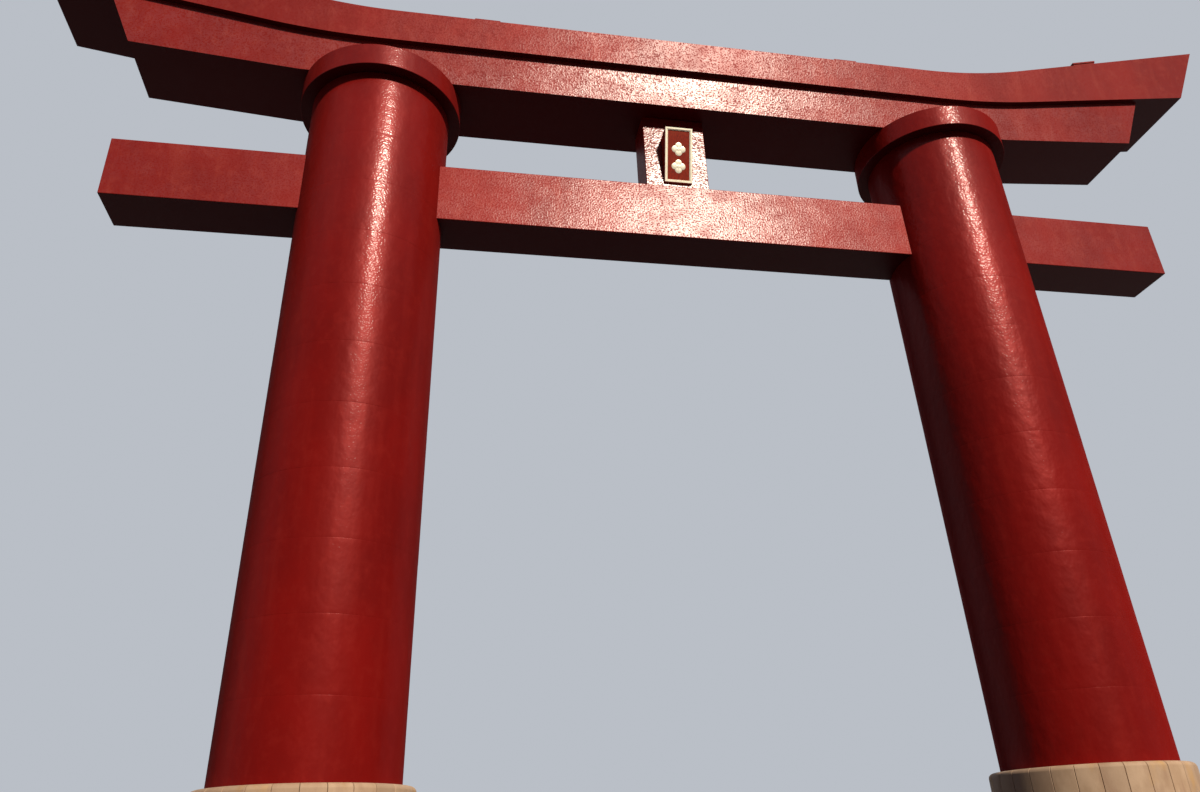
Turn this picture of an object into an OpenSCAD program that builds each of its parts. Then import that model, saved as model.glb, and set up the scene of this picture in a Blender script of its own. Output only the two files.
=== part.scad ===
// Giant torii gate in reinforced concrete, as a model at 1:2 of the real one.
// Millimetres, X along the lintels, front face towards -Y, ground at Z = 0.

/* [Plinths] */
// Radius of each round plinth
plinth_radius = 1325; // [1240:5:1700]
// Height of a plinth above the ground
plinth_height = 1580; // [600:10:2600]
// Radius of the rounding round the top edge
plinth_rounding = 70; // [20:5:110]

/* [Columns] */
// Radius of both columns, the same from foot to head
column_radius = 1150; // [700:5:1200]
// Distance from the centre of the gate to a column's axis at the plinth
column_offset = 5300; // [4400:10:6400]
// Inward lean of each column, in degrees
column_lean = 0.787; // [0:0.001:2]
// Height of one cast lift
lift_height = 940; // [800:10:960]
// Radius of the disc under the lintels
disc_radius = 1345; // [1240:5:1500]
// Thickness of that disc
disc_height = 425; // [200:5:600]

/* [Tie beam] */
// Half of the length of the tie beam
tie_half_length = 9175; // [7600:25:10500]
// Height of the tie beam
tie_height = 1073; // [700:1:1250]
// Depth of the tie beam, front to back
tie_depth = 827; // [500:1:1100]
// Distance from the tie beam's top to the lower lintel's underside
tie_drop = 1626; // [1100:2:1900]
// Gap round the tie beam where it runs through a column
tie_clearance = 1; // [0.5:0.5:5]

/* [Lower lintel] */
// Height of its underside above the ground, between the columns
lintel_level = 12656; // [11800:2:13600]
// Thickness between the columns
lower_height = 726; // [500:2:1000]
// Depth of its underside, front to back
lower_depth_below = 1272; // [1000:4:1360]
// Depth of its top, as both long faces lean outward
lower_depth_above = 1418; // [1200:2:1600]
// Half length along the underside
lower_half_length_below = 9214; // [8600:2:9600]
// Half length along the top
lower_half_length_above = 9663; // [9000:1:10200]
// Distance from the centre at which the underside turns upward
lower_turn = 6500; // [6450:10:7600]
// Rise of the underside beyond that, per unit of length
lower_slope = 0.086; // [0:0.001:0.11]

/* [Upper lintel] */
// Thickness between the columns
upper_height = 628; // [450:2:900]
// Depth of its underside, front to back
upper_depth_below = 1621; // [1430:1:1720]
// Depth of its top, as its long faces lean outward too
upper_depth_above = 1747; // [1430:1:2000]
// Half length along the underside
upper_half_length_below = 10685; // [10300:5:11200]
// Half length along the top
upper_half_length_above = 11300; // [11200:10:11900]
// Distance from the centre at which the underside begins to curve
joint_bend_start = 5243; // [4000:1:6500]
// Distance at which that curve ends and a straight rise begins
joint_bend_end = 7126; // [6600:2:8500]
// Straight rise of the underside, per unit of length
joint_slope = 0.1625; // [0.12:0.0025:0.2]
// Distance from the centre at which the top begins to curve
top_bend_start = 4980; // [4000:10:6500]
// Distance at which the curve of the top ends
top_bend_end = 7065; // [6600:5:8500]
// Straight rise of the top, per unit of length
top_slope = 0.2577; // [0.21:0.0001:0.3]

/* [Strut] */
// Width of the strut between the tie beam and the lower lintel
strut_width = 1125; // [800:5:1500]
// Depth of the strut
strut_depth = 610; // [400:5:800]

/* [Plaque] */
// Width of the plaque over its frame
plaque_width = 490; // [380:5:640]
// Length of the plaque along its slope
plaque_length = 1014; // [800:2:1200]
// Forward lean of the plaque, in degrees
plaque_lean = 17.8; // [8:0.1:22]
// Height of the plaque's foot above the tie beam
plaque_lift = 145; // [60:5:300]
// Width of the frame
frame_width = 50; // [30:1:70]
// Thickness of the frame
frame_depth = 47; // [40:1:70]
// Thickness of the board inside the frame
board_depth = 27; // [15:1:30]
// Thickness of each bracket behind the plaque
cheek_width = 25; // [15:1:50]
// Across each flower on the board
flower_across = 250; // [150:5:300]
// Distance from the plaque's foot to the centre of the lower flower
lower_flower_up = 300; // [210:5:340]
// Distance from the plaque's foot to the centre of the upper flower
upper_flower_up = 620; // [540:5:800]
// How far the flowers stand out of the board
flower_depth = 10; // [5:1:18]

/* [Roof hatches] */
// Width of an inner hatch along the lintel
inner_hatch_width = 450; // [300:10:700]
// Width of an outer hatch along the lintel
outer_hatch_width = 550; // [300:10:700]
// Depth of every hatch, front to back
hatch_depth = 420; // [300:10:700]
// Height of every hatch
hatch_height = 140; // [80:5:220]
// Distance from the lintel's front edge to an inner hatch
inner_hatch_setback = 100; // [40:5:400]
// Distance from the lintel's front edge to an outer hatch
outer_hatch_setback = 75; // [40:5:400]
// Distance of the inner hatches from the centre
inner_hatch = 3400; // [2000:25:4500]
// Distance of the outer hatches from the lintel's tips
outer_hatch_inset = 2580; // [800:20:3600]

/* [Hidden] */

$fa = 4;
$fs = 2;

paint = [0.52, 0.11, 0.09];
stone = [0.74, 0.62, 0.48];
gilt = [0.93, 0.83, 0.62];
board_red = [0.48, 0.09, 0.08];

// Number of lifts in a column below its head
lift_count = 8;
// Steps in each curved stretch of the lintels
bend_steps = 14;
// Steps in each straight end of the lintels, where their long faces twist a little
end_steps = 6;
// Steps in the rounding of a plinth
round_steps = 5;
// Sides of each petal
petal_sides = 48;
// Radius of a flower's centre, as a share of a petal's
flower_eye = 0.6;
// How far a cutting shape runs past what it cuts
over = 50;

joint_level = lintel_level + lower_height;
top_level = joint_level + upper_height;
disc_level = lintel_level - disc_height;
tie_top = lintel_level - tie_drop;
tie_bottom = tie_top - tie_height;
lean_slope = tan(column_lean);
head_level = plinth_height + lift_count * lift_height;
outer_hatch = upper_half_length_above - outer_hatch_inset;
// Width of the boxes that cut across a column
across_column = 4 * column_radius;

// Height gained at distance x from the centre by a line that curves between a and b, then rises straight
function rise(x, a, b, slope) =
  x <= a ? 0 :
  x <= b ? slope * (x - a) * (x - a) / (2 * (b - a)) :
  slope * ((b - a) / 2 + x - b);

function top_z(x) = top_level + rise(abs(x), top_bend_start, top_bend_end, top_slope);

// Points [x, z] along the right half of a lintel's edge: through its bend, then straight on to its end
function swept_edge(level, a, b, slope, last) = [
  for (x = concat(
    [for (i = [0 : bend_steps]) a + (b - a) * i / bend_steps],
    [for (i = [1 : end_steps]) b + (last - b) * i / end_steps]))
  [x, level + rise(x, a, b, slope)]];

// The same points with one more above the lower lintel's turn, on the straight between its neighbours
function with_turn(edge) = concat(
  [for (p = edge) if (p[0] < lower_turn) p],
  [[lower_turn, lookup(lower_turn, edge)]],
  [for (p = edge) if (p[0] > lower_turn) p]);

// Point on the lower lintel's underside that lies below x on its top, as its ends are slanted
function point_below(x) = let (
    beyond = max(0, x - lower_turn)
      * (lower_half_length_below - lower_turn) / (lower_half_length_above - lower_turn))
  [min(x, lower_turn) + beyond, lintel_level + beyond * lower_slope];

// Left half mirrored in front of the right half, as one list running left to right
function both_ways(edge) = concat(
  [for (i = [len(edge) - 1 : -1 : 0]) [-edge[i][0], edge[i][1]]],
  edge);

module plinth(side) {
  color(stone)
  translate([side * column_offset, 0, 0])
  rotate_extrude()
  polygon(concat(
    [[0, 0], [plinth_radius, 0]],
    [for (i = [0 : round_steps])
      [plinth_radius - plinth_rounding * (1 - cos(90 * i / round_steps)),
       plinth_height - plinth_rounding * (1 - sin(90 * i / round_steps))]],
    [[0, plinth_height]]));
}

// The leaning shaft that every lift of a column is cut from
module shaft(side) {
  translate([side * column_offset, 0, plinth_height])
  rotate([0, -side * column_lean, 0])
  translate([0, 0, -over])
  cylinder(r = column_radius, h = disc_level - plinth_height + 2 * over);
}

module column_part(side, from_z, to_z) {
  color(paint)
  intersection() {
    shaft(side);
    translate([side * column_offset - across_column / 2, -across_column / 2, from_z])
    cube([across_column, across_column, to_z - from_z]);
  }
}

module column_lift(side, n) {
  column_part(side, plinth_height + (n - 1) * lift_height, plinth_height + n * lift_height);
}

module column_head(side) {
  color(paint)
  difference() {
    column_part(side, head_level, disc_level);
    translate([side * column_offset - across_column / 2, -tie_depth / 2 - tie_clearance, tie_bottom])
    cube([across_column, tie_depth + 2 * tie_clearance, tie_height + tie_clearance]);
  }
}

module column_disc(side) {
  color(paint)
  translate([side * (column_offset - lean_slope * (disc_level - plinth_height)), 0, disc_level])
  cylinder(r = disc_radius, h = disc_height);
}

module tie_beam() {
  color(paint)
  translate([-tie_half_length, -tie_depth / 2, tie_bottom])
  cube([2 * tie_half_length, tie_depth, tie_height]);
}

module strut() {
  color(paint)
  translate([-strut_width / 2, -strut_depth / 2, tie_top])
  cube([strut_width, strut_depth, lintel_level - tie_top]);
}

// A beam with matching points [x, z] along the right half of its lower and upper edges. Its long faces lean
// outward and twist a little, so it is a row of four-cornered sections with triangles between them
module lintel(lower_edge, upper_edge, depth_below, depth_above) {
  below = both_ways(lower_edge);
  above = both_ways(upper_edge);
  right_end = 4 * (len(below) - 1);
  color(paint)
  polyhedron(
    points = [for (i = [0 : len(below) - 1]) each [
      [below[i][0], -depth_below / 2, below[i][1]],
      [above[i][0], -depth_above / 2, above[i][1]],
      [above[i][0], depth_above / 2, above[i][1]],
      [below[i][0], depth_below / 2, below[i][1]]]],
    faces = concat(
      [[3, 2, 1, 0]],
      [for (n = [0 : 4 : right_end - 4], k = [0 : 3])
        let (a = n + k, b = n + (k + 1) % 4)
        each [[a, b, b + 4], [a, b + 4, a + 4]]],
      [[for (k = [0 : 3]) right_end + k]]));
}

module lower_lintel() {
  top_edge = with_turn(swept_edge(
    joint_level, joint_bend_start, joint_bend_end, joint_slope, lower_half_length_above));
  lintel([for (p = top_edge) point_below(p[0])], top_edge, lower_depth_below, lower_depth_above);
}

module upper_lintel() {
  lintel(
    swept_edge(joint_level, joint_bend_start, joint_bend_end, joint_slope, upper_half_length_below),
    swept_edge(top_level, top_bend_start, top_bend_end, top_slope, upper_half_length_above),
    upper_depth_below, upper_depth_above);
}

// Puts its children on the plaque's slope: X across, Z up the slope, Y = 0 the front of the frame
module on_slope() {
  translate([0, -strut_depth / 2 - frame_depth * cos(plaque_lean), tie_top + plaque_lift])
  rotate([plaque_lean, 0, 0])
  children();
}

module plaque_bracket(side) {
  foot_z = tie_top + plaque_lift + frame_depth * sin(plaque_lean);
  face_y = -strut_depth / 2;
  head_y = face_y - plaque_length * sin(plaque_lean);
  head_z = foot_z + plaque_length * cos(plaque_lean);
  color(board_red)
  translate([side * (plaque_width - cheek_width) / 2 - cheek_width / 2, 0, 0])
  rotate([90, 0, 90])
  linear_extrude(height = cheek_width)
  polygon([[face_y, foot_z], [face_y, head_z], [head_y, head_z]]);
}

module plaque_board() {
  color(board_red)
  on_slope()
  translate([-plaque_width / 2 + frame_width, frame_depth - board_depth, frame_width])
  cube([plaque_width - 2 * frame_width, board_depth, plaque_length - 2 * frame_width]);
}

module frame_rail(up) {
  color(gilt)
  on_slope()
  translate([-plaque_width / 2, 0, up])
  cube([plaque_width, frame_depth, frame_width]);
}

module frame_stile(side) {
  color(gilt)
  on_slope()
  translate([side * (plaque_width - frame_width) / 2 - frame_width / 2, 0, frame_width])
  cube([frame_width, frame_depth, plaque_length - 2 * frame_width]);
}

// A plain four-petalled flower, raised on the board in place of lettering
module flower(up) {
  petal = flower_across / 4;
  color(gilt)
  on_slope()
  translate([0, frame_depth - board_depth, up])
  rotate([90, 0, 0])
  linear_extrude(height = flower_depth)
  union() {
    for (a = [0 : 90 : 270])
      rotate(a) translate([petal, 0]) circle(r = petal, $fn = petal_sides);
    circle(r = petal * flower_eye, $fn = petal_sides);
  }
}

module roof_hatch(at, width, setback) {
  pitch = abs(at) > top_bend_end ? sign(at) * atan(top_slope) : 0;
  color(paint)
  translate([at, -upper_depth_above / 2 + setback, top_z(at)])
  rotate([0, -pitch, 0])
  translate([-width / 2, 0, 0])
  cube([width, hatch_depth, hatch_height]);
}

module inner_hatch(side) {
  roof_hatch(side * inner_hatch, inner_hatch_width, inner_hatch_setback);
}

module outer_hatch(side) {
  roof_hatch(side * outer_hatch, outer_hatch_width, outer_hatch_setback);
}

plinth(-1);  // left_plinth
plinth(1);  // right_plinth
column_lift(-1, 1);  // left_column_lift_1
column_lift(-1, 2);  // left_column_lift_2
column_lift(-1, 3);  // left_column_lift_3
column_lift(-1, 4);  // left_column_lift_4
column_lift(-1, 5);  // left_column_lift_5
column_lift(-1, 6);  // left_column_lift_6
column_lift(-1, 7);  // left_column_lift_7
column_lift(-1, 8);  // left_column_lift_8
column_head(-1);  // left_column_head
column_disc(-1);  // left_column_disc
column_lift(1, 1);  // right_column_lift_1
column_lift(1, 2);  // right_column_lift_2
column_lift(1, 3);  // right_column_lift_3
column_lift(1, 4);  // right_column_lift_4
column_lift(1, 5);  // right_column_lift_5
column_lift(1, 6);  // right_column_lift_6
column_lift(1, 7);  // right_column_lift_7
column_lift(1, 8);  // right_column_lift_8
column_head(1);  // right_column_head
column_disc(1);  // right_column_disc
tie_beam();
strut();
lower_lintel();
upper_lintel();
plaque_bracket(-1);  // plaque_bracket_left
plaque_bracket(1);  // plaque_bracket_right
plaque_board();
frame_rail(0);  // plaque_frame_bottom
frame_stile(-1);  // plaque_frame_left
frame_stile(1);  // plaque_frame_right
frame_rail(plaque_length - frame_width);  // plaque_frame_top
flower(lower_flower_up);  // plaque_flower_lower
flower(upper_flower_up);  // plaque_flower_upper
outer_hatch(-1);  // roof_hatch_outer_left
inner_hatch(-1);  // roof_hatch_inner_left
inner_hatch(1);  // roof_hatch_inner_right
outer_hatch(1);  // roof_hatch_outer_right
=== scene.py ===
import math

import bmesh
import bpy
from mathutils import Matrix, Vector, noise


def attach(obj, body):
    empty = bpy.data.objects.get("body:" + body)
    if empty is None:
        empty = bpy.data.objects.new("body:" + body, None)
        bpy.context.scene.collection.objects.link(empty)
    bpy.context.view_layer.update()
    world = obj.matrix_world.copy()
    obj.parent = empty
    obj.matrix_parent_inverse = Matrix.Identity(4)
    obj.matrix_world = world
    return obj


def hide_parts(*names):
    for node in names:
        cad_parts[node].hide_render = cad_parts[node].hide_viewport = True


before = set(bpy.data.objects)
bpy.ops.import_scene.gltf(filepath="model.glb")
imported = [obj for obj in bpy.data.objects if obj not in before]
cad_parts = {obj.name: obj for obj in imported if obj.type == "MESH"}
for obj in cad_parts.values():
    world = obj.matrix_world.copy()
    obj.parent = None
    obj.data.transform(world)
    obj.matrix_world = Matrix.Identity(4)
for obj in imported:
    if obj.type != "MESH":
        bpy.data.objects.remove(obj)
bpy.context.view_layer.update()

# Plinths
# Each column stands on a round base faced with upright slabs of tan stone, sawn to the curve.
# Their heads are rounded over, and they are bedded with narrow raked joints over a dark backing.
PLINTH_RADIUS = 1.325
PLINTH_HEIGHT = 1.580
PLINTH_ROUNDING = 0.070
ROUNDING_STEPS = 6
SLABS_ROUND = 28
SLAB_STEPS = 6
SLAB_ARRIS = 0.004
SLAB_SETBACK = 0.0025
JOINT_WIDTH = 0.006
JOINT_DEPTH = 0.016
BACKING_SEGMENTS = 4 * SLABS_ROUND
BACKING_FOOT = 0.001
COLUMN_RADIUS = 1.150
COLUMN_GAP = 0.002
COLUMN_OFFSET = 5.300
COLUMN_LEAN = math.tan(math.radians(0.787))
TAN_STONE = (0.465, 0.288, 0.178)
PALE_STONE = (0.620, 0.412, 0.275)
GREY_STONE = (0.375, 0.240, 0.165)
RUST_STAIN = (0.320, 0.165, 0.110)
OCHRE_STAIN = (0.620, 0.330, 0.090)
JOINT_MORTAR = (0.090, 0.058, 0.036)
JOINT_SAND = (0.150, 0.100, 0.065)
# Share of a slab's width between the column's right and its first joint
FIRST_JOINT = {"left": 0.30, "right": 0.62}
SIDES = (("left", -1), ("right", 1))


def column_x(side, z):
    return side * (COLUMN_OFFSET - COLUMN_LEAN * (z - PLINTH_HEIGHT))


def add(tree, kind, **settings):
    node = tree.nodes.new(kind)
    for key, value in settings.items():
        if key in node.inputs:
            node.inputs[key].default_value = value
        else:
            setattr(node, key, value)
    return node


def join(tree, source, output, target, socket):
    tree.links.new(source.outputs[output], target.inputs[socket])


def new_finish(name):
    finish = bpy.data.materials.new(name)
    finish.use_nodes = True
    tree = finish.node_tree
    tree.nodes.clear()
    output = add(tree, "ShaderNodeOutputMaterial")
    shader = add(tree, "ShaderNodeBsdfPrincipled")
    join(tree, shader, "BSDF", output, "Surface")
    place = add(tree, "ShaderNodeTexCoord")
    return finish, tree, shader, place


def cloud(tree, place, stretch, scale, detail=3.0, roughness=0.5):
    # Grain in the object's own metres, stretched along an axis where stretch is small
    mapping = add(tree, "ShaderNodeMapping", Scale=stretch)
    join(tree, place, "Object", mapping, "Vector")
    grain = add(tree, "ShaderNodeTexNoise", Scale=scale, Detail=detail, Roughness=roughness)
    join(tree, mapping, "Vector", grain, "Vector")
    return grain


def spread(tree, source, output, low, high, out_low=0.0, out_high=1.0):
    ranged = add(tree, "ShaderNodeMapRange")
    for key, value in (("From Min", low), ("From Max", high), ("To Min", out_low), ("To Max", out_high)):
        ranged.inputs[key].default_value = value
    join(tree, source, output, ranged, "Value")
    return ranged


def tint(tree, base, share, colour):
    # Lays a colour over what is there; base is a colour or a (node, output) pair
    mix = add(tree, "ShaderNodeMix", data_type="RGBA")
    join(tree, share[0], share[1], mix, 0)
    if isinstance(base[0], float):
        mix.inputs[6].default_value = (*base, 1.0)
    else:
        join(tree, base[0], base[1], mix, 6)
    mix.inputs[7].default_value = (*colour, 1.0)
    return mix, 2


def dents(tree, grain, distance, below=None, output="Fac"):
    bump = add(tree, "ShaderNodeBump", Distance=distance)
    join(tree, grain, output, bump, "Height")
    if below:
        join(tree, below, "Normal", bump, "Normal")
    return bump


def finished(name, shape, finish, nodes, crease=12):
    # Turns a bmesh into a piece that rides on the gate and stands for its CAD nodes
    bmesh.ops.recalc_face_normals(shape, faces=shape.faces)
    mesh = bpy.data.meshes.new(name)
    shape.to_mesh(mesh)
    shape.free()
    mesh.polygons.foreach_set("use_smooth", [True] * len(mesh.polygons))
    mesh.set_sharp_from_angle(angle=math.radians(crease))
    mesh.materials.append(finish)
    piece = bpy.data.objects.new(name, mesh)
    bpy.context.scene.collection.objects.link(piece)
    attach(piece, "root")
    if nodes:
        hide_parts(*nodes)
    return piece


def revolved(shape, centre, outline, segments):
    # Turns an outline, as (distance from the axis, height), into a closed round block
    rings = []
    for n in range(segments):
        angle = 2 * math.pi * n / segments
        rings.append([shape.verts.new((centre + r * math.cos(angle), r * math.sin(angle), z))
                      for r, z in outline])
    for one, other in zip(rings, rings[1:] + rings[:1]):
        for k in range(len(outline) - 1):
            shape.faces.new((one[k], other[k], other[k + 1], one[k + 1]))
    shape.faces.new([ring[0] for ring in rings])
    shape.faces.new([ring[-1] for ring in rings])


def rounded_profile(radius, height, rounding):
    # Half section of a round block, from its foot to its top edge
    points = [(radius, 0.0)]
    for step in range(ROUNDING_STEPS + 1):
        turn = math.pi / 2 * step / ROUNDING_STEPS
        inward = rounding * (1 - math.cos(turn))
        points.append((radius - inward, height - rounding * (1 - math.sin(turn))))
    return points


def slab(shape, centre, start, end, setback, tone_layer, tone):
    # One wedge-shaped slab, from the column out to the face, with eased side arrises
    ease = SLAB_ARRIS / PLINTH_RADIUS
    width = end - start - 2 * ease
    angles = [start + ease + width * n / SLAB_STEPS for n in range(SLAB_STEPS + 1)]
    angles = [start] + angles + [end]
    rings = []
    for angle in angles:
        face = PLINTH_RADIUS - setback - (SLAB_ARRIS if angle in (start, end) else 0.0)
        outline = rounded_profile(face, PLINTH_HEIGHT, PLINTH_ROUNDING)
        outline += [(COLUMN_RADIUS + COLUMN_GAP, PLINTH_HEIGHT), (COLUMN_RADIUS + COLUMN_GAP, 0.0)]
        ring = []
        for radius, z in outline:
            ring.append(shape.verts.new((centre + radius * math.cos(angle), radius * math.sin(angle), z)))
        rings.append(ring)
    faces = [shape.faces.new(rings[0]), shape.faces.new(reversed(rings[-1]))]
    for one, other in zip(rings, rings[1:]):
        for k in range(len(one)):
            faces.append(shape.faces.new((one[k - 1], one[k], other[k], other[k - 1])))
    for face in faces:
        face[tone_layer] = tone


def slab_stone():
    finish, tree, shader, place = new_finish("tan_slab_stone")
    grain = cloud(tree, place, (1.0, 1.0, 0.55), 4.6, 5.0, 0.58)
    share = spread(tree, grain, "Fac", 0.35, 0.66)
    colour = tint(tree, TAN_STONE, (share, "Result"), PALE_STONE)
    tone = add(tree, "ShaderNodeAttribute", attribute_name="slab_tone")
    darker = spread(tree, tone, "Fac", 0.0, 1.0, 0.0, 0.65)
    colour = tint(tree, colour, (darker, "Result"), GREY_STONE)
    ochre = cloud(tree, place, (1.0, 1.0, 0.55), 2.6, 3.0, 0.55)
    patch = spread(tree, ochre, "Fac", 0.60, 0.76, 0.0, 0.60)
    colour = tint(tree, colour, (patch, "Result"), OCHRE_STAIN)
    run = cloud(tree, place, (1.0, 1.0, 0.35), 4.0, 4.0, 0.6)
    streak = spread(tree, run, "Fac", 0.54, 0.74, 0.0, 0.50)
    colour = tint(tree, colour, (streak, "Result"), RUST_STAIN)
    speck = cloud(tree, place, (1.0, 1.0, 1.0), 160.0, 2.0, 0.7)
    dark = spread(tree, speck, "Fac", 0.60, 0.75, 0.0, 0.35)
    colour = tint(tree, colour, (dark, "Result"), GREY_STONE)
    join(tree, colour[0], colour[1], shader, "Base Color")
    dull = spread(tree, grain, "Fac", 0.3, 0.7, 0.55, 0.75)
    join(tree, dull, "Result", shader, "Roughness")
    coarse = dents(tree, grain, 0.004)
    fine = dents(tree, speck, 0.0012, coarse)
    join(tree, fine, "Normal", shader, "Normal")
    shader.inputs["Specular IOR Level"].default_value = 0.35
    return finish


def mortar():
    finish, tree, shader, place = new_finish("raked_joint_mortar")
    sand = cloud(tree, place, (1.0, 1.0, 1.0), 220.0, 3.0, 0.7)
    share = spread(tree, sand, "Fac", 0.35, 0.65)
    colour = tint(tree, JOINT_MORTAR, (share, "Result"), JOINT_SAND)
    join(tree, colour[0], colour[1], shader, "Base Color")
    bump = dents(tree, sand, 0.002)
    join(tree, bump, "Normal", shader, "Normal")
    shader.inputs["Roughness"].default_value = 0.9
    return finish


STONE = slab_stone()
MORTAR = mortar()
slab_turn = 2 * math.pi / SLABS_ROUND
half_joint = JOINT_WIDTH / 2 / PLINTH_RADIUS
for name, side in SIDES:
    centre = column_x(side, PLINTH_HEIGHT)
    slabs = bmesh.new()
    tone_layer = slabs.faces.layers.float.new("slab_tone")
    for n in range(SLABS_ROUND):
        chance = Vector((n * 1.37, side * 4.1, 0.5))
        tone = min(1.0, max(0.0, 0.5 + 1.1 * noise.noise(chance)))
        setback = SLAB_SETBACK * abs(noise.noise(chance * 2.3))
        start = slab_turn * (n + FIRST_JOINT[name])
        slab(slabs, centre, start + half_joint, start + slab_turn - half_joint, setback, tone_layer, tone)
    finished(f"{name}_plinth_slabs", slabs, STONE, [f"{name}_plinth"])
    backing = bmesh.new()
    outline = rounded_profile(PLINTH_RADIUS - JOINT_DEPTH, PLINTH_HEIGHT - JOINT_DEPTH, PLINTH_ROUNDING)
    outline = [(r, max(z, BACKING_FOOT)) for r, z in outline]
    revolved(backing, centre, outline, BACKING_SEGMENTS)
    finished(f"{name}_plinth_backing", backing, MORTAR, [])

# Column lifts
# Each column is reinforced concrete, cast in round steel forms one lift on another, and painted
# with a glossy red ochre. The form strips leave soft upright waves and each lift a thin level joint.
LIFT_HEIGHT = 0.940
LIFTS = 8
COLUMN_SEGMENTS = 144
ROW_HEIGHT = 0.058
FORM_STRIPS = 30
STRIP_WAVE = 0.0008
HAND_WAVE = 0.0020
JOINT_GROOVE = 0.0008
GROOVE_EASE = 0.22
SKIN_MARGIN = 0.0030
COLUMN_RED = (0.230, 0.0044, 0.0026)
DEEP_RED = (0.176, 0.0040, 0.0028)
WORN_RED = (0.290, 0.0150, 0.0100)
COLUMN_SHADES = (COLUMN_RED, DEEP_RED, WORN_RED)
# Painted shade: the dark red that faces turned downward are coloured with
PAINTED_UNDERSIDE_SHADE = (0.080, 0.0036, 0.0052)
# Body: gloss, sheen, softness, softness at the flanks
COLUMN_BODY = (0.09, 0.14, 0.41, 0.85)
# Film: strength, dullness, share lost at its pores
COLUMN_FILM = {"left": (0.175, 0.18, 0.0), "right": (0.125, 0.20, 0.0)}
# Relief: depths of the hand's, the roller's and the stipple's marks, and the stipple's fineness
COLUMN_RELIEF = {"left": (0.0050, 0.0070, 0.0026, 34.0), "right": (0.0080, 0.0070, 0.0042, 26.0)}
COLUMN_WEAR = 0.35
FILM_AT_FOOT = 0.10
FILM_LEVELS = (7.2, 10.4)
STIPPLE_LEVELS = (7.2, 9.6)
STIPPLE_AT_FOOT = 1.5
FILM_SPREAD = 0.16
PORE_SCALE = 34.0
PORE_RANGE = (0.52, 0.60)
# How far a face turns from the eye where the sheen fades, and how far down it faces where it is an underside
FLANK = (0.30, 0.65)
UNDERSIDE = (-0.85, -0.45)


def times(tree, source, output, ranged):
    product = add(tree, "ShaderNodeMath", operation="MULTIPLY")
    join(tree, source, output, product, 0)
    join(tree, ranged, "Result", product, 1)
    return product


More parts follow.
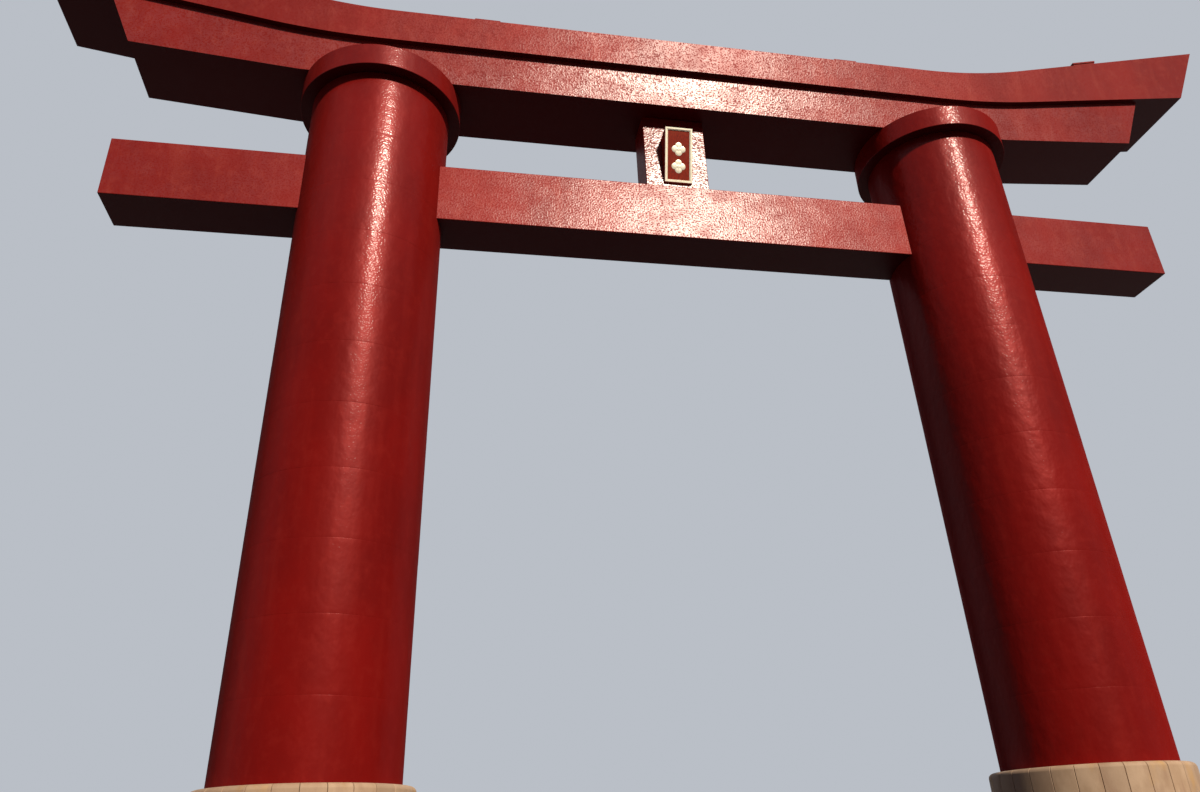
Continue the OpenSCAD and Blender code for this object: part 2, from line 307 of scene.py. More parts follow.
def paint(name, shades, wear, body, film, relief, foot=1.0):
    # Enamel rolled on concrete: a red body with a broad red sheen, under a thin film with a stippled gloss.
    # The film thins to the share called foot near the plinths, and is rubbed and pitted on the beams.
    # Undersides get a painted shade, a dark red laid over their colour, and lose the sheen and most of the
    # film
    base, deep, worn = shades
    gloss, sheen, softness, flank = body
    strength, dullness, porous = film
    trowel, waves, stipple, fineness = relief
    finish, tree, shader, place = new_finish(name)
    coats = cloud(tree, place, (1.0, 1.0, 0.55), 0.9, 4.0, 0.55)
    share = spread(tree, coats, "Fac", 0.36, 0.64)
    colour = tint(tree, base, (share, "Result"), deep)
    streaks = cloud(tree, place, (1.0, 1.0, 0.10), 3.4, 4.0, 0.6)
    run = spread(tree, streaks, "Fac", 0.52, 0.76, 0.0, wear)
    colour = tint(tree, colour, (run, "Result"), worn)
    mottle = cloud(tree, place, (1.0, 1.0, 0.8), 6.5, 5.0, 0.68)
    faded = spread(tree, mottle, "Fac", 0.50, 0.75, 0.0, wear)
    colour = tint(tree, colour, (faded, "Result"), worn)
    facing = add(tree, "ShaderNodeNewGeometry")
    tilt = add(tree, "ShaderNodeSeparateXYZ")
    join(tree, facing, "Normal", tilt, "Vector")
    # Painted shade: faces that turn downward are darkened towards a dark red
    under = spread(tree, tilt, "Z", UNDERSIDE[1], UNDERSIDE[0])
    colour = tint(tree, colour, (under, "Result"), PAINTED_UNDERSIDE_SHADE)
    join(tree, colour[0], colour[1], shader, "Base Color")
    shader.inputs["Specular IOR Level"].default_value = gloss
    turned = add(tree, "ShaderNodeLayerWeight", Blend=0.5)
    rough = spread(tree, turned, "Facing", *FLANK, softness, flank)
    join(tree, rough, "Result", shader, "Roughness")
    edge = spread(tree, turned, "Facing", *FLANK, 1.0, 0.05)
    pores = cloud(tree, place, (1.0, 1.0, 1.0), PORE_SCALE, 1.0, 0.5)
    closed = spread(tree, pores, "Fac", *PORE_RANGE, 1.0, 1.0 - porous)
    dimmed = spread(tree, pores, "Fac", *PORE_RANGE, 1.0, 1.0 - porous / 2)
    rubbed = cloud(tree, place, (1.0, 1.0, 1.6), 1.5, 4.0, 0.65)
    kept = spread(tree, rubbed, "Fac", 0.40, 0.56, 1.0 - porous / 2, 1.0)
    lit = spread(tree, tilt, "Z", *UNDERSIDE, 0.0, sheen)
    reddened = times(tree, lit, "Result", dimmed)
    join(tree, times(tree, reddened, "Value", edge), "Value", shader, "Metallic")
    strokes = cloud(tree, place, (1.0, 1.0, 0.22), 12.0, 3.0, 0.6)
    least, most = strength * (1 - FILM_SPREAD), strength * (1 + FILM_SPREAD)
    thick = spread(tree, strokes, "Fac", 0.34, 0.66, least, most)
    height = add(tree, "ShaderNodeSeparateXYZ")
    join(tree, place, "Object", height, "Vector")
    thinned = times(tree, thick, "Result", spread(tree, height, "Z", *FILM_LEVELS, foot, 1.0))
    pitted = times(tree, thinned, "Value", closed)
    whole = times(tree, pitted, "Value", kept)
    below = times(tree, whole, "Value", spread(tree, tilt, "Z", *UNDERSIDE, 0.10, 1.0))
    join(tree, times(tree, below, "Value", edge), "Value", shader, "Coat Weight")
    shader.inputs["Coat Roughness"].default_value = dullness
    hand = cloud(tree, place, (1.0, 1.0, 0.7), 6.5, 2.0, 0.5)
    uneven = dents(tree, hand, trowel)
    join(tree, uneven, "Normal", shader, "Normal")
    rolled = cloud(tree, place, (1.0, 1.0, 1.8), 2.4, 2.0, 0.5)
    peel = cloud(tree, place, (1.0, 1.0, 1.0), fineness, 0.0)
    grown = times(tree, peel, "Fac", spread(tree, height, "Z", *STIPPLE_LEVELS, STIPPLE_AT_FOOT, 1.0))
    wide = dents(tree, rolled, waves, uneven)
    close = dents(tree, grown, stipple, wide, "Value")
    join(tree, close, "Normal", shader, "Coat Normal")
    return finish


def skin_radius(side, angle, z, lift):
    # Never beyond the nominal radius: the waves only cut in
    strips = STRIP_WAVE * (1 - math.cos(FORM_STRIPS * angle + 1.3 * lift)) / 2
    point = Vector((1.6 * math.cos(angle), 1.6 * math.sin(angle), 1.1 * z + 3.7 * lift + 20.0 * side))
    hand = HAND_WAVE * (1 + noise.noise(point)) / 2
    return COLUMN_RADIUS - strips - hand


def lift_rows(low, high):
    # Levels of one lift's rows, and how far each is cut in where the form edges meet
    count = round((high - low) / ROW_HEIGHT)
    inner = [low + SKIN_MARGIN * 2 + (high - low - SKIN_MARGIN * 4) * n / count for n in range(count + 1)]
    rows = [(low, JOINT_GROOVE), (low + SKIN_MARGIN, JOINT_GROOVE * GROOVE_EASE)]
    rows += [(z, 0.0) for z in inner]
    return rows + [(high - SKIN_MARGIN, JOINT_GROOVE * GROOVE_EASE), (high, JOINT_GROOVE)]


def cast_skin(shape, side, lifts):
    # Stacks lifts, given as (number, low, high), into one closed skin
    rings = []
    for lift, low, high in lifts:
        for z, cut in lift_rows(low, high):
            if rings and z == low:
                continue
            centre = column_x(side, z)
            ring = []
            for n in range(COLUMN_SEGMENTS):
                angle = 2 * math.pi * n / COLUMN_SEGMENTS
                radius = skin_radius(side, angle, z, lift) - cut
                ring.append(shape.verts.new((centre + radius * math.cos(angle), radius * math.sin(angle), z)))
            rings.append(ring)
    for one, other in zip(rings, rings[1:]):
        for n in range(COLUMN_SEGMENTS):
            shape.faces.new((one[n - 1], one[n], other[n], other[n - 1]))
    shape.faces.new(rings[0])
    shape.faces.new(rings[-1])


COLUMN_PAINTS = {}
for name, side in SIDES:
    COLUMN_PAINTS[name] = paint(f"column_red_ochre_{name}", COLUMN_SHADES, COLUMN_WEAR, COLUMN_BODY,
                                COLUMN_FILM[name], COLUMN_RELIEF[name], FILM_AT_FOOT)
for name, side in SIDES:
    for n in range(1, LIFTS + 1):
        low = PLINTH_HEIGHT + (n - 1) * LIFT_HEIGHT
        lift = bmesh.new()
        cast_skin(lift, side, [(n, low, low + LIFT_HEIGHT)])
        finished(f"{name}_column_cast_{n}", lift, COLUMN_PAINTS[name],
                 [f"{name}_column_lift_{n}"])

# Column heads
# The last lifts of each column are one casting with a slot right through it.
# The slot is formed to the tie beam's section, with a hair joint round it.
HEAD_LEVEL = PLINTH_HEIGHT + LIFTS * LIFT_HEIGHT
TIE_TOP = 11.030
TIE_HEIGHT = 1.073
TIE_DEPTH = 0.827
SLOT_GAP = 0.0015
DISC_LEVEL = 12.231


def box_shape(shape, low, high):
    corners = bmesh.ops.create_cube(shape, size=1.0)["verts"]
    for vert in corners:
        vert.co = Vector([low[k] if vert.co[k] < 0 else high[k] for k in range(3)])
    return corners


def slotted(piece, low, high):
    # Cuts a box-shaped slot through a piece
    tool = bmesh.new()
    box_shape(tool, low, high)
    mesh = bpy.data.meshes.new("slot_tool")
    tool.to_mesh(mesh)
    tool.free()
    cutter = bpy.data.objects.new("slot_tool", mesh)
    bpy.context.scene.collection.objects.link(cutter)
    cut = piece.modifiers.new("slot", "BOOLEAN")
    cut.operation = "DIFFERENCE"
    cut.solver = "EXACT"
    cut.object = cutter
    graph = bpy.context.evaluated_depsgraph_get()
    done = bpy.data.meshes.new_from_object(piece.evaluated_get(graph))
    piece.modifiers.remove(cut)
    piece.data = done
    bpy.data.objects.remove(cutter)


for name, side in SIDES:
    levels = [HEAD_LEVEL + n * LIFT_HEIGHT for n in range(4)]
    levels[-1] = DISC_LEVEL
    head = bmesh.new()
    cast_skin(head, side, [(LIFTS + 1 + n, levels[n], levels[n + 1]) for n in range(3)])
    piece = finished(f"{name}_column_cast_head", head, COLUMN_PAINTS[name],
                     [f"{name}_column_head"])
    middle = side * COLUMN_OFFSET
    slotted(piece,
            (middle - 2 * COLUMN_RADIUS, -TIE_DEPTH / 2 - SLOT_GAP, TIE_TOP - TIE_HEIGHT),
            (middle + 2 * COLUMN_RADIUS, TIE_DEPTH / 2 + SLOT_GAP, TIE_TOP + SLOT_GAP))

# Discs
# A round cast disc sits on each column head and spreads the lintels' weight.
# Its edges were chamfered in the form, and it has the column's paint.
DISC_RADIUS = 1.345
LINTEL_LEVEL = 12.656
DISC_SEGMENTS = 160
DISC_CHAMFER = 0.011
DISC_EASE = 0.3 * DISC_CHAMFER
DISC_OUTLINE = ((DISC_RADIUS - DISC_CHAMFER, DISC_LEVEL),
                (DISC_RADIUS - DISC_EASE, DISC_LEVEL + DISC_EASE),
                (DISC_RADIUS, DISC_LEVEL + DISC_CHAMFER),
                (DISC_RADIUS, LINTEL_LEVEL - DISC_CHAMFER),
                (DISC_RADIUS - DISC_EASE, LINTEL_LEVEL - DISC_EASE),
                (DISC_RADIUS - DISC_CHAMFER, LINTEL_LEVEL))

for name, side in SIDES:
    disc = bmesh.new()
    revolved(disc, column_x(side, DISC_LEVEL), DISC_OUTLINE, DISC_SEGMENTS)
    finished(f"{name}_column_cast_disc", disc, COLUMN_PAINTS[name],
             [f"{name}_column_disc"])

# Tie beam
# One cast beam runs through both columns and stands out beyond them. Its arrises are chamfered.
# The paint on the flat faces has weathered a little paler, and its glossy film is pitted.
TIE_HALF_LENGTH = 9.175
BEAM_CHAMFER = 0.011
BEAM_RED = (0.258, 0.0120, 0.0085)
BEAM_DEEP = (0.205, 0.0080, 0.0060)
BEAM_WORN = (0.310, 0.0350, 0.0240)
BEAM_SHADES = (BEAM_RED, BEAM_DEEP, BEAM_WORN)
BEAM_BODY = (0.08, 0.17, 0.50, 0.50)
BEAM_RELIEF = (0.0010, 0.0016, 0.0019, 34.0)
BEAM_WEAR = 0.55
TIE_FILM = (0.42, 0.26, 0.90)


def arrised(shape, width, steps=2, crease=25):
    # Eases every edge where two faces meet more sharply than the crease angle
    least = math.radians(crease)
    sharp = [e for e in shape.edges if len(e.link_faces) == 2 and e.calc_face_angle() > least]
    bmesh.ops.bevel(shape, geom=sharp, offset=width, offset_type="OFFSET", segments=steps, profile=0.5,
                    affect="EDGES", clamp_overlap=True)


def block(low, high, width):
    shape = bmesh.new()
    box_shape(shape, low, high)
    arrised(shape, width)
    return shape


TIE_PAINT = paint("tie_beam_red_ochre", BEAM_SHADES, BEAM_WEAR, BEAM_BODY, TIE_FILM, BEAM_RELIEF)
beam = block((-TIE_HALF_LENGTH, -TIE_DEPTH / 2, TIE_TOP - TIE_HEIGHT),
             (TIE_HALF_LENGTH, TIE_DEPTH / 2, TIE_TOP), BEAM_CHAMFER)
finished("tie_beam_cast", beam, TIE_PAINT, ["tie_beam"])

# Strut
# A short cast post stands on the middle of the tie beam, props the lower lintel and carries the plaque.
# It is a plain block with chamfered arrises, and its red has the thickest film, sheltered by the lintels.
STRUT_WIDTH = 1.125
STRUT_DEPTH = 0.610
STRUT_BODY = (0.08, 0.08, 0.50, 0.50)
STRUT_FILM = (0.80, 0.23, 0.90)
STRUT_RELIEF = (0.0010, 0.0016, 0.0024, 34.0)

post = block((-STRUT_WIDTH / 2, -STRUT_DEPTH / 2, TIE_TOP),
             (STRUT_WIDTH / 2, STRUT_DEPTH / 2, LINTEL_LEVEL), BEAM_CHAMFER)
STRUT_PAINT = paint("strut_red_ochre", COLUMN_SHADES, BEAM_WEAR, STRUT_BODY, STRUT_FILM, STRUT_RELIEF)
finished("strut_cast", post, STRUT_PAINT, ["strut"])

# Lower lintel
# A cast beam lies on the discs, and its long faces lean outward. It is level between the columns and
# lifts towards its slanted ends, where its top follows the sweep of the lintel above.
LOWER_HEIGHT = 0.726
LOWER_DEPTH_BELOW = 1.272
LOWER_DEPTH_ABOVE = 1.418
LOWER_HALF_BELOW = 9.214
LOWER_HALF_ABOVE = 9.663
LOWER_TURN = 6.500
LOWER_SLOPE = 0.086
JOINT_BEND = (5.243, 7.126)
JOINT_SLOPE = 0.1625
BEND_STEPS = 14
END_STEPS = 6
JOINT_LEVEL = LINTEL_LEVEL + LOWER_HEIGHT
LOWER_FILM = (0.57, 0.27, 0.90)


def sweep(x, bend, slope):
    # Height gained by a line that curves across the bend and then rises straight
    start, end = bend
    if x <= start:
        return 0.0
    if x <= end:
        return slope * (x - start) ** 2 / (2 * (end - start))
    return slope * ((end - start) / 2 + x - end)


def stations(bend, last):
    # Distances from the centre along the right half of an edge, through its bend and on to its end
    start, end = bend
    curved = [start + (end - start) * n / BEND_STEPS for n in range(BEND_STEPS + 1)]
    return curved + [end + (last - end) * n / END_STEPS for n in range(1, END_STEPS + 1)]


def cast_lintel(under, above, depth_below, depth_above):
    # Takes matching points along the right half of both edges, and skins the sections between them
    sections = list(zip(under, above))
    mirrored = [((-x0, z0), (-x1, z1)) for (x0, z0), (x1, z1) in reversed(sections)]
    shape = bmesh.new()
    rings = []
    for (x0, z0), (x1, z1) in mirrored + sections:
        corners = ((x0, -depth_below / 2, z0), (x1, -depth_above / 2, z1),
                   (x1, depth_above / 2, z1), (x0, depth_below / 2, z0))
        rings.append([shape.verts.new(corner) for corner in corners])
    for one, other in zip(rings, rings[1:]):
        for k in range(4):
            shape.faces.new((one[k - 1], one[k], other[k], other[k - 1]))
    shape.faces.new(rings[0])
    shape.faces.new(rings[-1])
    arrised(shape, BEAM_CHAMFER)
    return shape


end_share = (LOWER_HALF_BELOW - LOWER_TURN) / (LOWER_HALF_ABOVE - LOWER_TURN)
lower_under = []
lower_above = []
for x in sorted(stations(JOINT_BEND, LOWER_HALF_ABOVE) + [LOWER_TURN]):
    beyond = max(0.0, x - LOWER_TURN)
    lower_under.append((x - beyond * (1 - end_share), LINTEL_LEVEL + beyond * end_share * LOWER_SLOPE))
    lower_above.append((x, JOINT_LEVEL + sweep(x, JOINT_BEND, JOINT_SLOPE)))
lower = cast_lintel(lower_under, lower_above, LOWER_DEPTH_BELOW, LOWER_DEPTH_ABOVE)
LOWER_PAINT = paint("lower_lintel_red_ochre", BEAM_SHADES, BEAM_WEAR, BEAM_BODY, LOWER_FILM, BEAM_RELIEF)
finished("lower_lintel_cast", lower, LOWER_PAINT, ["lower_lintel"])

# Upper lintel
# The top beam is deeper, front to back, than the one that it lies on, and stands out beyond it all round.
# Its ends sweep up and thicken, and are cut on a slant. Weather has taken most of its film.
UPPER_HEIGHT = 0.628
UPPER_DEPTH_BELOW = 1.621
UPPER_DEPTH_ABOVE = 1.747
UPPER_HALF_BELOW = 10.685
UPPER_HALF_ABOVE = 11.300
TOP_BEND = (4.980, 7.065)
TOP_SLOPE = 0.2577
TOP_LEVEL = JOINT_LEVEL + UPPER_HEIGHT
UPPER_FILM = (0.22, 0.27, 0.90)


def swept_edge(level, bend, slope, last):
    return [(x, level + sweep(x, bend, slope)) for x in stations(bend, last)]


upper_under = swept_edge(JOINT_LEVEL, JOINT_BEND, JOINT_SLOPE, UPPER_HALF_BELOW)
upper_above = swept_edge(TOP_LEVEL, TOP_BEND, TOP_SLOPE, UPPER_HALF_ABOVE)
upper = cast_lintel(upper_under, upper_above, UPPER_DEPTH_BELOW, UPPER_DEPTH_ABOVE)
UPPER_PAINT = paint("upper_lintel_red_ochre", BEAM_SHADES, BEAM_WEAR, BEAM_BODY, UPPER_FILM, BEAM_RELIEF)
finished("upper_lintel_cast", upper, UPPER_PAINT, ["upper_lintel"])

# Roof hatches
# Four low hatches stand on the upper lintel's top, near its front edge.
# Each is a cast kerb under a flat metal cover that overhangs it, all in the gate's paint.
HATCH_DEPTH = 0.420
HATCH_HEIGHT = 0.140
HATCH_COVER = 0.038
COVER_LAP = 0.002
HATCH_OVERHANG = 0.014
HATCH_CHAMFER = 0.005
# Name, distance along the lintel, width and distance from its front edge
HATCHES = (("outer_left", -8.720, 0.550, 0.075), ("inner_left", -3.400, 0.450, 0.100),
           ("inner_right", 3.400, 0.450, 0.100), ("outer_right", 8.720, 0.550, 0.075))

for name, along, width, setback in HATCHES:
    hatch = bmesh.new()
    half = width / 2
    kerb_top = HATCH_HEIGHT - HATCH_COVER
    box_shape(hatch, (-half + HATCH_OVERHANG, HATCH_OVERHANG, 0.0),
              (half - HATCH_OVERHANG, HATCH_DEPTH - HATCH_OVERHANG, kerb_top + COVER_LAP))
    box_shape(hatch, (-half, 0.0, kerb_top), (half, HATCH_DEPTH, HATCH_HEIGHT))
    arrised(hatch, HATCH_CHAMFER)
    pitch = math.copysign(math.atan(TOP_SLOPE), along) if abs(along) > TOP_BEND[1] else 0.0
    level = TOP_LEVEL + sweep(abs(along), TOP_BEND, TOP_SLOPE)
    seat = Vector((along, -UPPER_DEPTH_ABOVE / 2 + setback, level))
    hatch.transform(Matrix.Translation(seat) @ Matrix.Rotation(-pitch, 4, "Y"))
    finished(f"roof_hatch_{name}_cover", hatch, UPPER_PAINT,
             [f"roof_hatch_{name}"])

# Plaque brackets
# Two wooden cheeks, cut as wedges, stand on the strut's face and hold the plaque leaning forward.
# They are painted the board's red.
PLAQUE_WIDTH = 0.490
PLAQUE_LENGTH = 1.014
PLAQUE_LEAN = math.radians(17.8)
PLAQUE_LIFT = 0.145
FRAME_WIDTH = 0.050
FRAME_DEPTH = 0.047
BOARD_DEPTH = 0.027
CHEEK_WIDTH = 0.025
CHEEK_ARRIS = 0.0015
BOARD_RED = (0.350, 0.0220, 0.0055)
BOARD_DARK = (0.190, 0.0140, 0.0050)
BOARD_WORN = (0.370, 0.0520, 0.0180)


def board_paint():
    finish, tree, shader, place = new_finish("plaque_board_red")
    grain = cloud(tree, place, (1.0, 1.0, 0.06), 60.0, 4.0, 0.6)
    share = spread(tree, grain, "Fac", 0.35, 0.65)
    colour = tint(tree, BOARD_RED, (share, "Result"), BOARD_DARK)
    faded = cloud(tree, place, (1.0, 1.0, 1.0), 5.0, 4.0, 0.6)
    patch = spread(tree, faded, "Fac", 0.50, 0.75, 0.0, 0.5)
    colour = tint(tree, colour, (patch, "Result"), BOARD_WORN)
    join(tree, colour[0], colour[1], shader, "Base Color")
    dull = spread(tree, grain, "Fac", 0.3, 0.7, 0.42, 0.58)
    join(tree, dull, "Result", shader, "Roughness")
    join(tree, dents(tree, grain, 0.0008), "Normal", shader, "Normal")
    shader.inputs["Specular IOR Level"].default_value = 0.10
    return finish


BOARD_PAINT = board_paint()
for name, side in SIDES:
    foot = TIE_TOP + PLAQUE_LIFT + FRAME_DEPTH * math.sin(PLAQUE_LEAN)
    top = foot + PLAQUE_LENGTH * math.cos(PLAQUE_LEAN)
    front = -STRUT_DEPTH / 2 - PLAQUE_LENGTH * math.sin(PLAQUE_LEAN)
    wedge = [(-STRUT_DEPTH / 2, foot), (-STRUT_DEPTH / 2, top), (front, top)]
    middle = side * (PLAQUE_WIDTH - CHEEK_WIDTH) / 2
    cheek = bmesh.new()
    near = [cheek.verts.new((middle - CHEEK_WIDTH / 2, y, z)) for y, z in wedge]
    far = [cheek.verts.new((middle + CHEEK_WIDTH / 2, y, z)) for y, z in wedge]
    cheek.faces.new(near)
    cheek.faces.new(reversed(far))
    for n in range(len(wedge)):
        cheek.faces.new((near[n - 1], far[n - 1], far[n], near[n]))
    arrised(cheek, CHEEK_ARRIS, 1)
    finished(f"plaque_cheek_{name}", cheek, BOARD_PAINT, [f"plaque_bracket_{name}"])

# Plaque board
# The board is one wide plank between the frame's members, under satin red paint.
# Its back rests on the wedge brackets.
PLAQUE_FOOT = (0.0, -STRUT_DEPTH / 2 - FRAME_DEPTH * math.cos(PLAQUE_LEAN), TIE_TOP + PLAQUE_LIFT)
SLOPE = Matrix.Translation(PLAQUE_FOOT) @ Matrix.Rotation(PLAQUE_LEAN, 4, "X")
BOARD_FACE = FRAME_DEPTH - BOARD_DEPTH
BOARD_ARRIS = 0.0012

board = block((-PLAQUE_WIDTH / 2 + FRAME_WIDTH, BOARD_FACE, FRAME_WIDTH),
              (PLAQUE_WIDTH / 2 - FRAME_WIDTH, FRAME_DEPTH, PLAQUE_LENGTH - FRAME_WIDTH), BOARD_ARRIS)
board.transform(SLOPE)
finished("plaque_panel", board, BOARD_PAINT, ["plaque_board"])

# Plaque frame
# Four gilded mouldings, mitred at the corners, frame the board and stand proud of it.
# Each has a broad flat face that steps down to a thin inner bead.
# The moulding's section, as (distance in from the outer edge, depth behind the face)
FRAME_PROFILE = ((0.000, 0.047), (0.000, 0.003), (0.003, 0.000), (0.032, 0.000), (0.035, 0.003),
                 (0.035, 0.009), (0.038, 0.007), (0.043, 0.007), (0.046, 0.010), (0.050, 0.014),
                 (0.050, 0.047))
CREAM_GILT = (0.930, 0.800, 0.590)
WORN_GILT = (0.600, 0.430, 0.230)
PALE_GILT = (0.960, 0.890, 0.740)


def gilding():
    finish, tree, shader, place = new_finish("cream_gilding")
    leaf = cloud(tree, place, (1.0, 1.0, 1.0), 38.0, 4.0, 0.65)
    share = spread(tree, leaf, "Fac", 0.38, 0.66)
    colour = tint(tree, CREAM_GILT, (share, "Result"), PALE_GILT)
    rub = cloud(tree, place, (1.0, 1.0, 1.0), 12.0, 5.0, 0.7)
    worn = spread(tree, rub, "Fac", 0.58, 0.76, 0.0, 0.55)
    colour = tint(tree, colour, (worn, "Result"), WORN_GILT)
    join(tree, colour[0], colour[1], shader, "Base Color")
    dull = spread(tree, leaf, "Fac", 0.3, 0.7, 0.34, 0.50)
    join(tree, dull, "Result", shader, "Roughness")
    join(tree, dents(tree, leaf, 0.0007), "Normal", shader, "Normal")
    shader.inputs["Metallic"].default_value = 0.35
    return finish


def frame_member(corner, along, length, name, node):
    # Sweeps the profile between two mitred corners. Its outer edge starts at corner and runs along an axis
    shape = bmesh.new()
    inward = Vector((-along[2], 0.0, along[0]))
    ends = []
    for end in (0, 1):
        ring = []
        for width, depth in FRAME_PROFILE:
            reach = width if end == 0 else length - width
            point = Vector(corner) + Vector(along) * reach + inward * width
            ring.append(shape.verts.new((point.x, depth, point.z)))
        ends.append(ring)
    for k in range(len(FRAME_PROFILE)):
        shape.faces.new((ends[0][k - 1], ends[0][k], ends[1][k], ends[1][k - 1]))
    shape.faces.new(ends[0])
    shape.faces.new(reversed(ends[1]))
    shape.transform(SLOPE)
    finished(name, shape, GILT, [node], 25)


GILT = gilding()
half = PLAQUE_WIDTH / 2
FRAME_MEMBERS = (("bottom", (-half, 0, 0), (1, 0, 0), PLAQUE_WIDTH),
                 ("right", (half, 0, 0), (0, 0, 1), PLAQUE_LENGTH),
                 ("top", (half, 0, PLAQUE_LENGTH), (-1, 0, 0), PLAQUE_WIDTH),
                 ("left", (-half, 0, PLAQUE_LENGTH), (0, 0, -1), PLAQUE_LENGTH))
for place, corner, along, length in FRAME_MEMBERS:
    frame_member(corner, along, length, f"plaque_moulding_{place}", f"plaque_frame_{place}")

# Plaque flowers
# Two plain four-petalled flowers, carved in low relief and gilded, are fixed to the board one above
# the other. Each petal is domed, with a crease between petals and a round button in the middle.
FLOWER_ACROSS = 0.250
FLOWER_DEPTH = 0.010
FLOWER_TURNS = 96
FLOWER_RINGS = 10
BUTTON_SHARE = 0.5
PETAL_RISE = 0.82
RIM_RISE = 0.16
FLOWER_CENTRES = (("lower", 0.300), ("upper", 0.620))


def carved_height(x, z, petal):
    # How far the carving stands out of the board at a point
    height = 0.0
    for turn in range(4):
        angle = math.pi / 2 * turn
        apart = math.hypot(x - petal * math.cos(angle), z - petal * math.sin(angle)) / petal
        height = max(height, 1 - apart ** 2.2)
    button = 1 - (math.hypot(x, z) / (petal * BUTTON_SHARE)) ** 4
    dome = PETAL_RISE * max(0.0, height) ** 0.5
    return FLOWER_DEPTH * max(RIM_RISE, dome, min(1.0, 2.5 * button))


def flower(up, name, node):
    petal = FLOWER_ACROSS / 4
    shape = bmesh.new()
    top = [shape.verts.new((0.0, BOARD_FACE - FLOWER_DEPTH, up))]
    rings = []
    for ring in range(1, FLOWER_RINGS + 1):
        verts = []
        for n in range(FLOWER_TURNS):
            angle = 2 * math.pi * n / FLOWER_TURNS
            nearest = (angle + math.pi / 4) % (math.pi / 2) - math.pi / 4
            reach = 2 * petal * math.cos(nearest) * ring / FLOWER_RINGS
            x, z = reach * math.cos(angle), reach * math.sin(angle)
            verts.append(shape.verts.new((x, BOARD_FACE - carved_height(x, z, petal), up + z)))
        rings.append(verts)
    rim = [shape.verts.new((v.co.x, BOARD_FACE, v.co.z)) for v in rings[-1]]
    rings.append(rim)
    for n in range(FLOWER_TURNS):
        shape.faces.new((top[0], rings[0][n - 1], rings[0][n]))
    for one, other in zip(rings, rings[1:]):
        for n in range(FLOWER_TURNS):
            shape.faces.new((one[n - 1], other[n - 1], other[n], one[n]))
    shape.faces.new(rim)
    shape.transform(SLOPE)
    finished(name, shape, GILT, [node], 50)


for place, up in FLOWER_CENTRES:
    flower(up, f"plaque_carving_{place}", f"plaque_flower_{place}")

# Floor and light
# A plain pale floor and surround. The key light is low from the front right, as on a clear afternoon,
# and a weak light from behind and the surround fill the shaded sides.
FLOOR_REACH = 150.0
FLOOR_PALE = (0.450, 0.460, 0.480)
FLOOR_BOUNCE = (0.025, 0.022, 0.022)
SURROUND_PALE = (0.490, 0.520, 0.570)
SURROUND_FILL = (0.034, 0.052, 0.082)
KEY_FROM = (0.24, -0.78, 0.58)
KEY_STRENGTH = 3.9
KEY_COLOUR = (1.0, 0.93, 0.77)
KEY_ANGLE = 4.0
BACK_FROM = (0.45, 0.75, 0.48)
BACK_COLOUR = (0.90, 0.95, 1.0)
BACK_STRENGTH = 0.9
BACK_ANGLE = 40.0


def seen_directly(tree):
    # 1 for camera, glossy and transmission rays, which meet the pale surround itself
    rays = add(tree, "ShaderNodeLightPath")
    either = add(tree, "ShaderNodeMath", operation="MAXIMUM")
    any_of = add(tree, "ShaderNodeMath", operation="MAXIMUM")
    join(tree, rays, "Is Camera Ray", either, 0)
    join(tree, rays, "Is Glossy Ray", either, 1)
    join(tree, either, 0, any_of, 0)
    join(tree, rays, "Is Transmission Ray", any_of, 1)
    return any_of


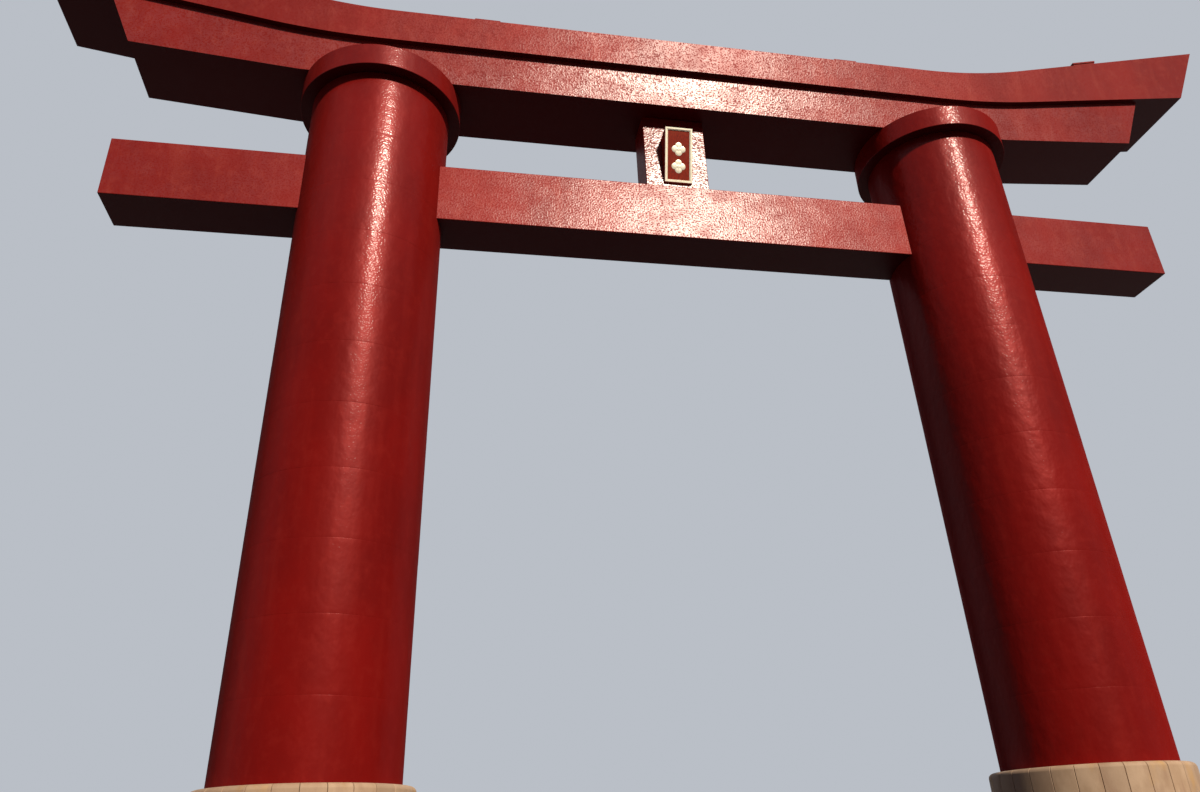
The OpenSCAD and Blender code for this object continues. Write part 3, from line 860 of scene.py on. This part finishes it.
floor_shape = bmesh.new()
for x, y in ((-1, -1), (1, -1), (1, 1), (-1, 1)):
    floor_shape.verts.new((x * FLOOR_REACH, y * FLOOR_REACH, 0.0))
floor_shape.faces.new(floor_shape.verts)
floor_mesh = bpy.data.meshes.new("floor")
floor_shape.to_mesh(floor_mesh)
floor_shape.free()
floor = bpy.data.objects.new("floor", floor_mesh)
bpy.context.scene.collection.objects.link(floor)
finish, tree, shader, place = new_finish("pale_floor")
colour = tint(tree, FLOOR_BOUNCE, (seen_directly(tree), 0), FLOOR_PALE)
join(tree, colour[0], colour[1], shader, "Base Color")
shader.inputs["Roughness"].default_value = 0.9
shader.inputs["Specular IOR Level"].default_value = 0.1
floor_mesh.materials.append(finish)

world = bpy.data.worlds.new("surround")
world.use_nodes = True
bpy.context.scene.world = world
tree = world.node_tree
tree.nodes.clear()
output = add(tree, "ShaderNodeOutputWorld")
sky = add(tree, "ShaderNodeBackground")
colour = tint(tree, SURROUND_FILL, (seen_directly(tree), 0), SURROUND_PALE)
join(tree, colour[0], colour[1], sky, "Color")
join(tree, sky, "Background", output, "Surface")

LIGHTS = (("key", KEY_FROM, KEY_STRENGTH, KEY_COLOUR, KEY_ANGLE, True),
          ("back", BACK_FROM, BACK_STRENGTH, BACK_COLOUR, BACK_ANGLE, False))
for name, towards, strength, tone, angle, mirrored in LIGHTS:
    lamp = bpy.data.lights.new(f"{name}_light", "SUN")
    lamp.energy = strength
    lamp.color = tone
    lamp.angle = math.radians(angle)
    light = bpy.data.objects.new(f"{name}_light", lamp)
    light.visible_glossy = mirrored
    light.rotation_euler = Vector(towards).to_track_quat("Z", "Y").to_euler()
    bpy.context.scene.collection.objects.link(light)

# Camera
# It stands at eye height, left of the middle, and looks up through the gate.
EYE = (-3.8303, -12.3891, 0.8564)
YAW = 0.18746
PITCH = 0.46010
ROLL = -0.03905
FOCAL_LENGTH = 27.163
SENSOR_WIDTH = 36.0
FAR_LIMIT = 500.0

ahead = Vector((math.sin(YAW) * math.cos(PITCH), math.cos(YAW) * math.cos(PITCH), math.sin(PITCH)))
level = Vector((math.cos(YAW), -math.sin(YAW), 0.0))
upright = level.cross(ahead)
across = level * math.cos(ROLL) + upright * math.sin(ROLL)
up = upright * math.cos(ROLL) - level * math.sin(ROLL)
lens = bpy.data.cameras.new("camera")
lens.lens = FOCAL_LENGTH
lens.sensor_width = SENSOR_WIDTH
lens.clip_end = FAR_LIMIT
camera = bpy.data.objects.new("camera", lens)
turn = Matrix((across, up, -ahead)).transposed().to_4x4()
camera.matrix_world = Matrix.Translation(EYE) @ turn
bpy.context.scene.collection.objects.link(camera)
bpy.context.scene.camera = camera
bpy.context.scene.view_settings.view_transform = "Standard"
